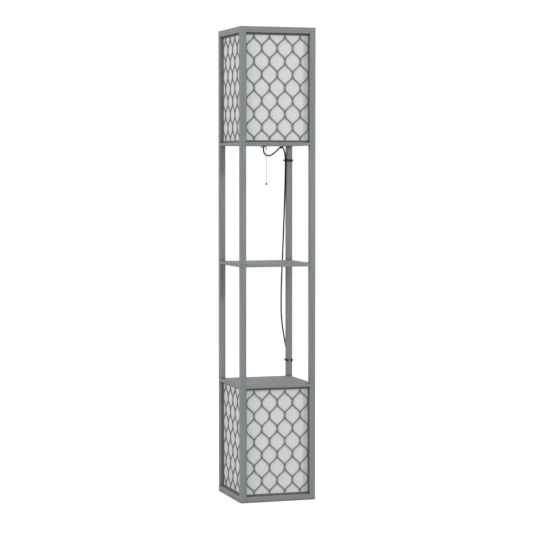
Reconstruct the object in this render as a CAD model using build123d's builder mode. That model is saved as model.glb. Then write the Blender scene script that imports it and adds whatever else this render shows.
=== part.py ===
from build123d import *
import os
from math import acos, atan2, cos, hypot, pi, radians, sin, sqrt, tan

os.makedirs("parts", exist_ok=True)

# A square shelf floor lamp: a lantern box at the foot, two open shelf tiers and a lantern box at
# the top. Millimetres, +Z up, the front faces -Y. The origin is the middle of the footprint.

# ---- frame ----
side = 260.0  # width and depth of the tower
post = 19.0  # square section of a corner post
box_post_length = 380.0  # post beside a lantern box
tier_post_length = 392.5  # post beside an open tier
board_thickness = 10.0
board_round = 1.0  # rounded edge of a board
post_round = 0.8  # rounded long edge of a post or rail
end_break = 0.5  # small bevel round each end of a post
rail_height = 20.0
tenon_radius = 3.5
tenon_length = 5.0
fit_gap = 0.05  # radial room round a tenon, stud, insert or nipple
end_gap = 0.5  # room past the tip of a tenon or stud
loose_gap = 0.3  # room round a piece that is dropped in

# ---- lattice panels and their liners ----
panel_recess = 10.0  # the lattice lies this far behind the face of the posts
rebate_width = 3.0  # how far a panel reaches into a post
lattice_thickness = 2.4
lattice_border = 6.5  # width of the border that shows inside the frame
columns = 4  # ogee cells across a panel
rows = 4  # ogee cells up a panel
strand_width = 3.1
strand_radius = 22.5  # of the bends of a strand, on its centre line
strand_slope = 49.5  # degrees from upright, between two bends
liner_thickness = 0.8

# ---- joints between the tiers ----
stud_radius = 3.0
stud_reach = 22.0  # length of a stud inside each post
insert_radius = 4.5
insert_length = 12.0
insert_wall_gap = 0.05  # radial room between a stud and its insert
stud_hole_radius = 3.3  # in the boards, and in the posts past an insert

# ---- lower floor ----
base_thickness = 11.0
base_ledge = 3.2  # width of the step in a bottom rail that carries the base board

# ---- lamp holders ----
upper_lamp_x = -10.0  # the upper holder stands a little left of the middle
nipple_radius = 4.0
nipple_bore = 3.0
nipple_flange_radius = 4.8
nipple_flange_thickness = 1.2
nut_flats = 11.0
nut_height = 4.0
holder_radius = 20.0
holder_cup_height = 24.0
holder_cup_wall = 3.0
holder_cavity = 22.0  # height of the hollow under the holder's floor
holder_floor = 3.0
holder_height = 54.0
sleeve_radius = 17.5
shell_radius = 14.3  # outside of the threaded metal shell
shell_wall = 0.5
shell_height = 24.0
boss_radius = 5.5
boss_foot = 7.0
contact_radius = 5.0
contact_height = 2.0
cap_radius = 13.0
cap_height = 26.0
cap_neck_radius = 13.6
bulb_radius = 30.0
bulb_height = 105.0

# ---- pull switch, chain and bracket ----
chain_offset = 9.6  # from the holder's axis to the chain
chain_bearing = -25.0  # degrees, seen from above, from +X
switch_radius = 3.0
switch_bore = 1.6
switch_floor = 1.5
switch_height = 16.0
link_radius = 0.7
link_disc_radius = 1.3
link_disc_height = 1.0
link_hole_gap = 0.35
pull_travel = 8.0
link_drop = 9.0  # from the upper board down to the top of the chain's bell
bell_radius = 2.0
bell_height = 4.0
chain_hole_radius = 2.2
bead_radius = 1.2
bead_pitch = 3.26
bead_wire = 0.4
bead_count = 34
knob_radius = 3.3
knob_neck_radius = 1.3
knob_height = 7.5
knob_shoulder = 3.0
knob_round = 1.5
bracket_width = 12.0
bracket_thickness = 1.5
bracket_flat = 6.2  # half length of the flat that is clamped to the board
bracket_reach = 10.4  # half width at the tips of its legs
bracket_drop = 8.5
bracket_slot = 3.0
bush_radius = 4.2
bush_height = 2.5
bush_neck = 6.0

# ---- cord ----
cord_diameter = 5.0
clip_wall = 2.5
clip_height = 6.0
clip_lip = 4.8
clip_far_round = 4.5  # inside the closed end
clip_room = 6.2  # space for the cord inside a clip
upper_clip_drop = 48.4  # from the upper board down to the middle of the upper clip
lower_clip_rise = 56.0  # from the lower board up to the middle of the lower clip
board_clip_inset = (43.2, 30.95)  # from the right and back edges of the upper board
board_clip_bearing = 45.7
board_clip_width = 6.0
board_clip_wall = 1.2
board_clip_foot = 4.5
board_clip_gap = 0.7
coil_mean_radius = 27.5
coil_gap = 0.6  # between a turn and the next
coil_turns = 5.25
coil_start_y = 188.0
coil_start_x = 97.3
tie_width = 12.0
tie_thickness = 1.2
tie_gap = 0.3
tie_bearing = 215.0
plug_length = 24.0
plug_width = 22.0
plug_depth = 19.0
plug_round = 5.0
relief_length = 22.0
relief_radius = 5.2
relief_tip_radius = 2.9
blade_length = 17.0
blade_width = 6.3
blade_thickness = 1.5
blade_spacing = 12.7

# ---- levels and places worked out from the sizes above ----
half = side / 2
post_inner = half - post
post_centre = half - post / 2
lower_board_z = box_post_length
lower_tier_z = lower_board_z + board_thickness
middle_shelf_z = lower_tier_z + tier_post_length
upper_tier_z = middle_shelf_z + board_thickness
upper_board_z = upper_tier_z + tier_post_length
upper_box_z = upper_board_z + board_thickness
total_height = upper_box_z + box_post_length
panel_height = box_post_length - rail_height
panel_width = 2 * (post_inner + rebate_width - loose_gap)
opening_width = 2 * (post_inner - lattice_border)
opening_height = panel_height - 2 * lattice_border
pitch_x = opening_width / columns
pitch_z = opening_height / rows

sides = {"front": (0, -1), "right": (1, 0), "back": (0, 1), "left": (-1, 0)}
corners = {"front_left": (-1, -1), "front_right": (1, -1), "back_right": (1, 1), "back_left": (-1, 1)}


def finish(piece, name):
    piece.part.label = name
    export_step(piece.part, f"parts/{name}.step")


def side_plane(outward, depth, z):
    """An upright plane that faces outward, this far behind the face of the tower."""
    ox, oy = outward
    reach = half - depth
    return Plane(origin=(ox * reach, oy * reach, z), x_dir=(-oy, ox, 0), z_dir=(ox, oy, 0))


# ---- posts ----
def make_post(corner, base, length, studs_below, studs_above, rail_z=None, rebate_z=None):
    sx, sy = corner
    x = sx * post_centre
    y = sy * post_centre
    with BuildPart() as piece:
        with BuildSketch(Plane.XY.offset(base)):
            with Locations((x, y)):
                RectangleRounded(post, post, post_round)
        extrude(amount=length)
        chamfer(piece.faces().filter_by(Axis.Z).edges(), end_break)
        if rebate_z is not None:
            # a step for each of the two panels that meet at this post
            step = post - panel_recess
            with BuildSketch(Plane.XY.offset(rebate_z)):
                with Locations((sx * (post_inner + rebate_width / 2), sy * (post_inner + step / 2))):
                    Rectangle(rebate_width, step)
                with Locations((sx * (post_inner + step / 2), sy * (post_inner + rebate_width / 2))):
                    Rectangle(step, rebate_width)
            extrude(amount=panel_height, mode=Mode.SUBTRACT)
        ends = []
        if studs_below:
            ends.append(Plane(origin=(x, y, base), z_dir=(0, 0, -1)))
        if studs_above:
            ends.append(Plane(origin=(x, y, base + length), z_dir=(0, 0, 1)))
        if ends:
            with Locations(*ends):
                CounterBoreHole(
                    radius=stud_hole_radius,
                    counter_bore_radius=insert_radius + fit_gap,
                    counter_bore_depth=insert_length,
                    depth=stud_reach + end_gap,
                )
        if rail_z is not None:
            mouths = [
                Plane(origin=(sx * post_inner, y, rail_z), z_dir=(-sx, 0, 0)),
                Plane(origin=(x, sy * post_inner, rail_z), z_dir=(0, -sy, 0)),
            ]
            with Locations(*mouths):
                Hole(radius=tenon_radius + fit_gap, depth=tenon_length + end_gap)
    return piece


bottom_rail_z = rail_height / 2
top_rail_z = total_height - rail_height / 2
for corner_name, corner in corners.items():
    lower_box_post = make_post(
        corner, 0, box_post_length, False, True, rail_z=bottom_rail_z, rebate_z=rail_height
    )
    finish(lower_box_post, f"lower_box_post_{corner_name}")
    lower_tier_post = make_post(corner, lower_tier_z, tier_post_length, True, True)
    finish(lower_tier_post, f"lower_tier_post_{corner_name}")
    upper_tier_post = make_post(corner, upper_tier_z, tier_post_length, True, True)
    finish(upper_tier_post, f"upper_tier_post_{corner_name}")
    upper_box_post = make_post(
        corner, upper_box_z, box_post_length, True, False, rail_z=top_rail_z, rebate_z=upper_box_z
    )
    finish(upper_box_post, f"upper_box_post_{corner_name}")


# ---- rails ----
def make_rail(outward, z, has_ledge):
    ox, oy = outward
    along = (-oy, ox, 0)
    with BuildPart() as piece:
        with BuildSketch(side_plane(outward, 0, z)):
            Rectangle(2 * post_inner, rail_height)
        extrude(amount=-post)
        long_axis = Axis.X if ox == 0 else Axis.Y
        fillet(piece.edges().filter_by(long_axis), post_round)
        for end in (-1, 1):
            origin = (
                ox * post_centre + end * along[0] * post_inner,
                oy * post_centre + end * along[1] * post_inner,
                z,
            )
            with BuildSketch(Plane(origin=origin, z_dir=(end * along[0], end * along[1], 0))):
                Circle(tenon_radius)
            extrude(amount=tenon_length)
        if has_ledge:
            # the step on the inside that the base board rests on
            with BuildSketch(side_plane(outward, post - base_ledge, z + rail_height / 2)):
                with Locations((0, -base_thickness / 2)):
                    Rectangle(2 * post_inner, base_thickness)
            extrude(amount=-base_ledge, mode=Mode.SUBTRACT)
    return piece


for side_name, outward in sides.items():
    top_rail = make_rail(outward, top_rail_z, False)
    finish(top_rail, f"top_rail_{side_name}")
    bottom_rail = make_rail(outward, bottom_rail_z, True)
    finish(bottom_rail, f"bottom_rail_{side_name}")


# ---- boards ----
def chain_point(offset=chain_offset):
    """A point beside the upper holder's axis, on the chain's bearing."""
    turn = radians(chain_bearing)
    return (upper_lamp_x + offset * cos(turn), offset * sin(turn))


def make_board(z, holes=()):
    """A full board with a stud hole in each corner. Further holes are (x, y, radius)."""
    with BuildPart() as piece:
        with BuildSketch(Plane.XY.offset(z)):
            RectangleRounded(side, side, board_round)
        extrude(amount=board_thickness)
        fillet(piece.faces().filter_by(Axis.Z).edges(), board_round * 0.9)
        with BuildSketch(Plane.XY.offset(z)):
            with GridLocations(2 * post_centre, 2 * post_centre, 2, 2):
                Circle(stud_hole_radius)
            for x, y, radius in holes:
                with Locations((x, y)):
                    Circle(radius)
        extrude(amount=board_thickness, mode=Mode.SUBTRACT)
    return piece


nipple_hole_radius = nipple_radius + fit_gap
upper_board = make_board(
    upper_board_z,
    ((upper_lamp_x, 0, nipple_hole_radius), (*chain_point(), chain_hole_radius)),
)
finish(upper_board, "upper_board")
middle_shelf = make_board(middle_shelf_z)
finish(middle_shelf, "middle_shelf")
lower_board = make_board(lower_board_z)
finish(lower_board, "lower_board")

base_z = rail_height - base_thickness
base_side = 2 * (post_inner + base_ledge - loose_gap)
with BuildPart() as base_board:
    with BuildSketch(Plane.XY.offset(base_z)):
        Rectangle(base_side, base_side)
        with GridLocations(2 * post_centre, 2 * post_centre, 2, 2):
            Rectangle(post + 2 * loose_gap, post + 2 * loose_gap, mode=Mode.SUBTRACT)
        Circle(nipple_hole_radius, mode=Mode.SUBTRACT)
    extrude(amount=base_thickness)
finish(base_board, "base_board")


# ---- lattice panels ----
def ogee_cell():
    """The outline of one opening, centred on the origin: an onion with a point above and below."""
    slope = radians(strand_slope)
    middle_x = pitch_x / 2
    middle_z = pitch_z / 2
    straight = (middle_x - 2 * strand_radius * (1 - cos(slope))) / sin(slope)
    dwell = (middle_z - 2 * strand_radius * sin(slope) - straight * cos(slope)) / 2
    outer = strand_radius + strand_width / 2
    inner = strand_radius - strand_width / 2
    # distances from the level of the lower point's node, along the right-hand strand
    tip_turn = acos(strand_radius / outer)
    tip = (0, dwell + outer * sin(tip_turn) - middle_z)
    mid_turn = (tip_turn + slope) / 2
    low_mid = (strand_radius - outer * cos(mid_turn), dwell + outer * sin(mid_turn) - middle_z)
    low_end = (strand_radius - outer * cos(slope), dwell + outer * sin(slope) - middle_z)
    side_x = middle_x - strand_radius
    high_start = (side_x + inner * cos(slope), -dwell - inner * sin(slope))
    high_mid = (side_x + inner * cos(slope / 2), -dwell - inner * sin(slope / 2))
    high_end = (side_x + inner, -dwell)
    with BuildSketch() as cell:
        with BuildLine():
            ThreePointArc(tip, low_mid, low_end)
            Line(low_end, high_start)
            ThreePointArc(high_start, high_mid, high_end)
            Line(high_end, (high_end[0], 0))
            mirror(about=Plane.XZ)
            mirror(about=Plane.YZ)
        make_face()
    return cell


cell = ogee_cell()
with BuildSketch() as lattice:
    Rectangle(panel_width, panel_height)
    with BuildSketch(mode=Mode.SUBTRACT):
        with GridLocations(pitch_x, pitch_z, columns, rows):
            add(cell.sketch)
        with GridLocations(pitch_x, pitch_z, columns + 1, rows + 1):
            add(cell.sketch)
        Rectangle(opening_width, opening_height, mode=Mode.INTERSECT)


def make_lattice(outward, base):
    with BuildPart() as piece:
        with BuildSketch(side_plane(outward, panel_recess, base + panel_height / 2)):
            add(lattice.sketch)
        extrude(amount=-lattice_thickness)
    return piece


box_floors = {"lower": rail_height, "upper": upper_box_z}
for box_name, base in box_floors.items():
    for side_name, outward in sides.items():
        lattice_panel = make_lattice(outward, base)
        finish(lattice_panel, f"{box_name}_lattice_{side_name}")

with BuildPart() as panel_liners:
    for base in box_floors.values():
        for outward in sides.values():
            liner_plane = side_plane(outward, panel_recess + lattice_thickness, base + panel_height / 2)
            with BuildSketch(liner_plane):
                Rectangle(panel_width, panel_height)
            extrude(amount=-liner_thickness)
finish(panel_liners, "panel_liners")

# ---- studs and inserts ----
board_levels = (lower_board_z, middle_shelf_z, upper_board_z)
with BuildPart() as joining_studs:
    for level in board_levels:
        with BuildSketch(Plane.XY.offset(level - stud_reach)):
            with GridLocations(2 * post_centre, 2 * post_centre, 2, 2):
                Circle(stud_radius)
        extrude(amount=board_thickness + 2 * stud_reach)
finish(joining_studs, "joining_studs")

with BuildPart() as threaded_inserts:
    for level in board_levels:
        for start in (level - insert_length, level + board_thickness):
            with BuildSketch(Plane.XY.offset(start)):
                with GridLocations(2 * post_centre, 2 * post_centre, 2, 2):
                    Circle(insert_radius)
                    Circle(stud_radius + insert_wall_gap, mode=Mode.SUBTRACT)
            extrude(amount=insert_length)
finish(threaded_inserts, "threaded_inserts")

# ---- lamp holders ----
lamp_seats = ((upper_lamp_x, upper_board_z, upper_box_z), (0, base_z, rail_height))
shell_foot = holder_cavity + holder_floor


def make_holder(x, z):
    """A moulded body: an open cup on the board, a boss for the nipple and a sleeve above."""
    with BuildPart() as piece:
        with BuildSketch(Plane(origin=(x, 0, z), x_dir=(1, 0, 0), z_dir=(0, -1, 0))):
            with BuildLine():
                Polyline(
                    (nipple_radius + fit_gap, boss_foot),
                    (boss_radius, boss_foot),
                    (boss_radius, holder_cavity),
                    (holder_radius - holder_cup_wall, holder_cavity),
                    (holder_radius - holder_cup_wall, 0),
                    (holder_radius, 0),
                    (holder_radius, holder_cup_height),
                    (sleeve_radius, holder_cup_height + holder_radius - sleeve_radius),
                    (sleeve_radius, holder_height),
                    (shell_radius + fit_gap, holder_height),
                    (shell_radius + fit_gap, shell_foot),
                    (nipple_radius + fit_gap, shell_foot),
                    close=True,
                )
            make_face()
        revolve(axis=Axis((x, 0, z), (0, 0, 1)))
    return piece


upper_lamp_holder = make_holder(upper_lamp_x, upper_box_z)
finish(upper_lamp_holder, "upper_lamp_holder")
lower_lamp_holder = make_holder(0, rail_height)
finish(lower_lamp_holder, "lower_lamp_holder")

with BuildPart() as screw_shells:
    for x, _, z in lamp_seats:
        with BuildSketch(Plane.XY.offset(z + shell_foot)):
            with Locations((x, 0)):
                Circle(shell_radius)
                Circle(shell_radius - shell_wall, mode=Mode.SUBTRACT)
        extrude(amount=shell_height)
finish(screw_shells, "screw_shells")

with BuildPart() as centre_contacts:
    for x, _, z in lamp_seats:
        with BuildSketch(Plane.XY.offset(z + shell_foot)):
            with Locations((x, 0)):
                Circle(contact_radius)
        extrude(amount=contact_height)
finish(centre_contacts, "centre_contacts")

nipple_tops = (upper_box_z + holder_cavity, rail_height + holder_cavity)
nipple_feet = (upper_board_z - bracket_thickness, base_z)
with BuildPart() as nipples:
    for (x, _, _), foot, top in zip(lamp_seats, nipple_feet, nipple_tops):
        with BuildSketch(Plane.XY.offset(foot)):
            with Locations((x, 0)):
                Circle(nipple_radius)
                Circle(nipple_bore, mode=Mode.SUBTRACT)
        extrude(amount=top - foot)
        with BuildSketch(Plane.XY.offset(foot)):
            with Locations((x, 0)):
                Circle(nipple_flange_radius)
                Circle(nipple_bore, mode=Mode.SUBTRACT)
        extrude(amount=-nipple_flange_thickness)
finish(nipples, "nipples")

with BuildPart() as nipple_nuts:
    for x, _, z in lamp_seats:
        with BuildSketch(Plane.XY.offset(z)):
            with Locations((x, 0)):
                RegularPolygon(nut_flats / 2, 6, major_radius=False)
                Circle(nipple_radius + fit_gap, mode=Mode.SUBTRACT)
        extrude(amount=nut_height)
finish(nipple_nuts, "nipple_nuts")

with BuildPart() as cord_bushes:
    for (x, _, _), foot in zip(lamp_seats, nipple_feet):
        collar_z = foot - nipple_flange_thickness
        with BuildSketch(Plane.XY.offset(collar_z)):
            with Locations((x, 0)):
                Circle(bush_radius)
        extrude(amount=-bush_height)
        with BuildSketch(Plane.XY.offset(collar_z)):
            with Locations((x, 0)):
                Circle(nipple_bore - fit_gap)
        extrude(amount=bush_neck)
finish(cord_bushes, "cord_bushes")


def make_bulb(x, z):
    """A pear-shaped bulb: its cap, a cone that meets the globe at a tangent, and the globe."""
    globe_z = bulb_height - bulb_radius
    reach = hypot(cap_neck_radius, globe_z - cap_height)
    turn = atan2(cap_height - globe_z, cap_neck_radius) + acos(bulb_radius / reach)
    touch = (bulb_radius * cos(turn), globe_z + bulb_radius * sin(turn))
    rest_turn = (turn + pi / 2) / 2
    shoulder = (bulb_radius * cos(rest_turn), globe_z + bulb_radius * sin(rest_turn))
    tip_radius = cap_radius / 3
    tip_height = cap_height / 8
    with BuildPart() as piece:
        with BuildSketch(Plane(origin=(x, 0, z), x_dir=(1, 0, 0), z_dir=(0, -1, 0))):
            with BuildLine():
                Polyline(
                    (0, bulb_height),
                    (0, 0),
                    (tip_radius, 0),
                    (cap_radius, tip_height),
                    (cap_radius, cap_height),
                    (cap_neck_radius, cap_height),
                    touch,
                )
                ThreePointArc(touch, shoulder, (0, bulb_height))
            make_face()
        revolve(axis=Axis((x, 0, z), (0, 0, 1)))
    return piece


bulb_seat = shell_foot + contact_height + loose_gap
upper_bulb = make_bulb(upper_lamp_x, upper_box_z + bulb_seat)
finish(upper_bulb, "upper_bulb")
lower_bulb = make_bulb(0, rail_height + bulb_seat)
finish(lower_bulb, "lower_bulb")

# ---- pull switch, its link, chain and knob ----
chain_x, chain_y = chain_point()
switch_z = upper_box_z + holder_cavity - switch_height
with BuildPart() as pull_switch:
    with BuildSketch(Plane.XY.offset(switch_z)):
        with Locations((chain_x, chain_y)):
            Circle(switch_radius)
    extrude(amount=switch_height)
    with BuildSketch(Plane.XY.offset(switch_z)):
        with Locations((chain_x, chain_y)):
            Circle(link_radius + link_hole_gap)
    extrude(amount=switch_height - switch_floor, mode=Mode.SUBTRACT)
    with BuildSketch(Plane.XY.offset(switch_z + switch_floor)):
        with Locations((chain_x, chain_y)):
            Circle(switch_bore)
    extrude(amount=switch_height - 2 * switch_floor, mode=Mode.SUBTRACT)
finish(pull_switch, "pull_switch")

bell_top = upper_board_z - link_drop
bell_foot = bell_top - bell_height
disc_z = switch_z + switch_floor + pull_travel + 2 * loose_gap
with BuildPart() as pull_link:
    with BuildSketch(Plane(origin=(chain_x, chain_y, 0), x_dir=(1, 0, 0), z_dir=(0, -1, 0))):
        with BuildLine():
            Polyline(
                (0, disc_z + link_disc_height),
                (0, bell_foot),
                (bell_radius, bell_foot),
                (bell_radius, bell_foot + bell_height / 2),
                (link_radius, bell_top),
                (link_radius, disc_z),
                (link_disc_radius, disc_z),
                (link_disc_radius, disc_z + link_disc_height),
                close=True,
            )
        make_face()
    revolve(axis=Axis((chain_x, chain_y, 0), (0, 0, 1)))
finish(pull_link, "pull_link")

chain_top = bell_foot - loose_gap
bead_half = sqrt(bead_radius**2 - bead_wire**2)
chain_length = bead_count * bead_pitch
with BuildPart() as pull_chain:
    with BuildSketch(Plane(origin=(chain_x, chain_y, 0), x_dir=(1, 0, 0), z_dir=(0, -1, 0))):
        with BuildLine():
            previous = (bead_wire, chain_top)
            Line((0, chain_top), previous)
            for bead in range(bead_count):
                middle = chain_top - (bead + 0.5) * bead_pitch
                Line(previous, (bead_wire, middle + bead_half))
                ThreePointArc(
                    (bead_wire, middle + bead_half),
                    (bead_radius, middle),
                    (bead_wire, middle - bead_half),
                )
                previous = (bead_wire, middle - bead_half)
            Line(previous, (bead_wire, chain_top - chain_length))
            Polyline(
                (bead_wire, chain_top - chain_length),
                (0, chain_top - chain_length),
                (0, chain_top),
            )
        make_face()
    revolve(axis=Axis((chain_x, chain_y, 0), (0, 0, 1)))
finish(pull_chain, "pull_chain")

knob_top = chain_top - chain_length
knob_foot = knob_top - knob_height
with BuildPart() as chain_knob:
    with BuildSketch(Plane(origin=(chain_x, chain_y, 0), x_dir=(1, 0, 0), z_dir=(0, -1, 0))):
        with BuildLine():
            Polyline(
                (knob_radius - knob_round, knob_foot),
                (0, knob_foot),
                (0, knob_top),
                (knob_neck_radius, knob_top),
                (knob_radius, knob_top - knob_shoulder),
                (knob_radius, knob_foot + knob_round),
            )
            RadiusArc(
                (knob_radius, knob_foot + knob_round),
                (knob_radius - knob_round, knob_foot),
                knob_round,
            )
        make_face()
    revolve(axis=Axis((chain_x, chain_y, 0), (0, 0, 1)))
finish(chain_knob, "chain_knob")

# ---- the two-legged bracket under the upper board ----
turn = radians(chain_bearing)
bracket_plane = Plane(
    origin=(upper_lamp_x, 0, upper_board_z),
    x_dir=(cos(turn), sin(turn), 0),
    z_dir=(sin(turn), -cos(turn), 0),
)
leg_slant = bracket_thickness * hypot(1, (bracket_reach - bracket_flat) / bracket_drop)
with BuildPart() as cord_bracket:
    with BuildSketch(bracket_plane):
        with BuildLine():
            Polyline(
                (0, 0),
                (bracket_flat, 0),
                (bracket_reach, -bracket_drop),
                (bracket_reach - leg_slant, -bracket_drop),
                (bracket_flat - leg_slant + bracket_thickness / 2, -bracket_thickness),
                (0, -bracket_thickness),
            )
            mirror(about=Plane.YZ)
        make_face()
    extrude(amount=bracket_width / 2, both=True)
    with BuildSketch(Plane.XY.offset(upper_board_z)):
        with Locations((upper_lamp_x, 0)):
            Circle(nipple_radius + fit_gap)
    extrude(amount=-bracket_thickness, mode=Mode.SUBTRACT)
    # the open slot in one leg that the chain's link hangs through
    slot_start = chain_offset - bracket_slot / 2
    slot_end = bracket_reach + bracket_thickness
    slot_plane = Plane(
        origin=(upper_lamp_x, 0, upper_board_z),
        x_dir=(cos(turn), sin(turn), 0),
        z_dir=(0, 0, 1),
    )
    with BuildSketch(slot_plane):
        with Locations(((slot_start + slot_end) / 2, 0)):
            Rectangle(slot_end - slot_start, bracket_slot)
    extrude(amount=-bracket_drop, mode=Mode.SUBTRACT)
finish(cord_bracket, "cord_bracket")


# ---- cord clips ----
def clip_outline():
    """A post clip from above. It opens towards -Y, and the cord lies in its far end."""
    width = post + 2 * loose_gap
    depth = post + 2 * loose_gap + clip_room
    near = -post / 2 - loose_gap
    mouth = width - 2 * clip_lip
    with BuildSketch() as room:
        with Locations((0, near + depth / 2)):
            Rectangle(width, depth)
        fillet(room.vertices().group_by(Axis.Y)[-1], clip_far_round)
    with BuildSketch() as outline:
        add(room.sketch)
        offset(amount=clip_wall)
        add(room.sketch, mode=Mode.SUBTRACT)
        with Locations((0, near - clip_wall / 2)):
            Rectangle(mouth, 2 * clip_wall, mode=Mode.SUBTRACT)
    return outline


clip = clip_outline()
# the upper clip opens to the right, the lower one to the front
clip_places = ((upper_board_z - upper_clip_drop, 90.0), (lower_tier_z + lower_clip_rise, 0.0))
with BuildPart() as post_clips:
    for level, bearing in clip_places:
        clip_turn = radians(bearing)
        clip_plane = Plane(
            origin=(post_centre, post_centre, level - clip_height / 2),
            x_dir=(cos(clip_turn), sin(clip_turn), 0),
            z_dir=(0, 0, 1),
        )
        with BuildSketch(clip_plane):
            add(clip.sketch)
        extrude(amount=clip_height)
finish(post_clips, "post_clips")

board_clip_turn = radians(board_clip_bearing)
board_clip_plane = Plane(
    origin=(half - board_clip_inset[0], half - board_clip_inset[1], upper_board_z),
    x_dir=(-sin(board_clip_turn), cos(board_clip_turn), 0),
    z_dir=(cos(board_clip_turn), sin(board_clip_turn), 0),
)
board_clip_bore = cord_diameter / 2 + board_clip_gap
board_clip_outer = board_clip_bore + board_clip_wall
with BuildPart() as board_cord_clip:
    with BuildSketch(board_clip_plane) as clip_face:
        with Locations((0, -board_clip_bore)):
            Circle(board_clip_outer)
        with Locations((0, -board_clip_bore / 2)):
            Rectangle(2 * board_clip_outer, board_clip_bore)
        with Locations((0, -board_clip_wall / 2)):
            Rectangle(2 * (board_clip_outer + board_clip_foot), board_clip_wall)
        with Locations((0, -board_clip_bore)):
            Circle(board_clip_bore, mode=Mode.SUBTRACT)
        with Locations((0, -board_clip_bore / 2)):
            Rectangle(2 * board_clip_bore, board_clip_bore, mode=Mode.SUBTRACT)
        with Locations((0, board_clip_outer / 2)):
            Rectangle(4 * board_clip_outer, board_clip_outer, mode=Mode.SUBTRACT)
    extrude(amount=board_clip_width / 2, both=True)
finish(board_cord_clip, "board_cord_clip")

# ---- the cord: its free run, from the bush under the upper board to the coil on the floor ----
cord_radius = cord_diameter / 2
coil_pitch = cord_diameter + coil_gap
coil_level = tie_gap + tie_thickness + cord_radius
reverse_angle = pi * coil_turns
climb = pi / 2  # half of the half turn that climbs
draw_in = coil_pitch * (reverse_angle - climb / 2) / (2 * pi)
coil_outer = coil_mean_radius + draw_in / 2
coil_inner = coil_outer - draw_in
cord_start = (upper_lamp_x, 0.0, nipple_feet[0] - nipple_flange_thickness - bush_height)
cord_end = (coil_start_x, coil_start_y - cord_diameter, coil_level)
cord_points = [
    cord_start,
    (-10.0, 0.0, 1166.0),
    (-5.1, 5.0, 1158.5),
    (5.4, 15.7, 1152.2),
    (20.8, 31.5, 1151.5),
    (36.1, 47.2, 1155.8),
    (59.9, 71.5, 1168.0),
    (78.8, 90.8, 1182.0),
    (94.9, 107.3, 1181.6),
    (103.5, 115.5, 1165.0),
    (107.9, 120.3, 1143.0),
    (108.1, 121.2, 1102.0),
    (107.4, 123.9, 1040.0),
    (106.3, 126.8, 974.0),
    (104.9, 130.3, 906.0),
    (103.7, 134.3, 845.0),
    (102.6, 138.5, 787.0),
    (100.2, 139.9, 722.0),
    (98.4, 139.1, 662.0),
    (98.4, 138.0, 607.0),
    (102.5, 137.0, 560.0),
    (110.2, 135.8, 515.0),
    (117.3, 134.3, 475.0),
    (120.2, 133.4, 432.0),
    (119.9, 133.8, 375.0),
    (117.9, 134.9, 315.0),
    (114.7, 136.6, 250.0),
    (110.9, 138.7, 185.0),
    (107.0, 141.2, 125.0),
    (103.4, 144.5, 72.0),
    (100.6, 149.5, 35.0),
    (98.6, 158.5, 13.0),
    (coil_start_x, 172.0, coil_level),
    cord_end,
]


def corner_radii(points):
    """The largest arc that each corner's two runs allow, with a little straight left between."""
    radii = []
    for before, here, after in zip(points, points[1:], points[2:]):
        run_in = Vector(*here) - Vector(*before)
        run_out = Vector(*after) - Vector(*here)
        half_turn = radians(run_in.get_angle(run_out)) / 2
        radii.append(0.45 * min(run_in.length, run_out.length) / tan(half_turn))
    return radii


cord_radii = corner_radii(cord_points)
print("cord radii", [round(radius, 1) for radius in cord_radii])
with BuildPart() as cord_run:
    with BuildLine() as cord_line:
        FilletPolyline(*cord_points, radius=cord_radii)
    with BuildSketch(Plane(origin=cord_start, z_dir=(0, 0, -1))):
        Circle(cord_radius)
    sweep(path=cord_line.wire())
finish(cord_run, "cord_run")
run_length = cord_line.wire().length
section = pi * cord_radius**2
print("cord run length", round(run_length, 1), "volume share", cord_run.part.volume / section / run_length)

# ---- the coil: in on the lower layer, up through one half turn, and out on the upper layer ----
coil_centre = (coil_start_x - coil_outer, coil_start_y)


def coil_point(angle):
    away = abs(angle - reverse_angle)
    if away < climb:
        away = away**2 / (2 * climb) + climb / 2
    radius = coil_inner + coil_pitch * (away - climb / 2) / (2 * pi)
    share = min(max((angle - reverse_angle + climb) / (2 * climb), 0), 1)
    lift = coil_pitch * share**2 * (3 - 2 * share)
    return Vector(
        coil_centre[0] + radius * cos(angle),
        coil_centre[1] + radius * sin(angle),
        coil_level + lift,
    )


def coil_direction(angle):
    step = 1e-4
    return (coil_point(angle + step) - coil_point(angle - step)).normalized()


def biarc_joint(start, start_way, end, end_way):
    """Where two tangent arcs between these ends meet."""
    chord = end - start
    ways = start_way + end_way
    slack = 2 * (1 - start_way.dot(end_way))
    along = chord.dot(ways)
    reach = (sqrt(along**2 + slack * chord.dot(chord)) - along) / slack
    return (start + end + (start_way - end_way) * reach) * 0.5


quarter_turns = round(4 * coil_turns)
with BuildPart() as cord_coil:
    with BuildLine() as coil_line:
        angle = 0.0
        here = coil_point(0)
        way = Vector(0, 1, 0)
        Line(here - way * cord_diameter, here)
        for quarter in range(quarter_turns):
            angle = (quarter + 1) * pi / 2
            there = coil_point(angle)
            next_way = coil_direction(angle) if quarter < quarter_turns - 1 else Vector(-1, 0, 0)
            joint = biarc_joint(here, way, there, next_way)
            first = TangentArc(here, joint, tangent=way)
            second = TangentArc(joint, there, tangent=first % 1)
            here = there
            way = second % 1
        coil_end = here + way * cord_diameter
        Line(here, coil_end)
    with BuildSketch(Plane(origin=cord_end, z_dir=(0, 1, 0))):
        Circle(cord_radius)
    sweep(path=coil_line.wire())
finish(cord_coil, "cord_coil")
coil_length = coil_line.wire().length
print("coil length", round(coil_length, 1), "volume share", cord_coil.part.volume / section / coil_length)
print("cord length", round(run_length + coil_length, 1))

steps_a_turn = 60
steps = round(steps_a_turn * coil_turns)
samples = [coil_line.wire() @ (step / steps) for step in range(steps + 1)]
least = min(
    (one - other).length
    for index, one in enumerate(samples)
    for other in samples[index + steps_a_turn // 4:]
)
print("least gap of the coil to itself", round(least - cord_diameter, 3))

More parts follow.
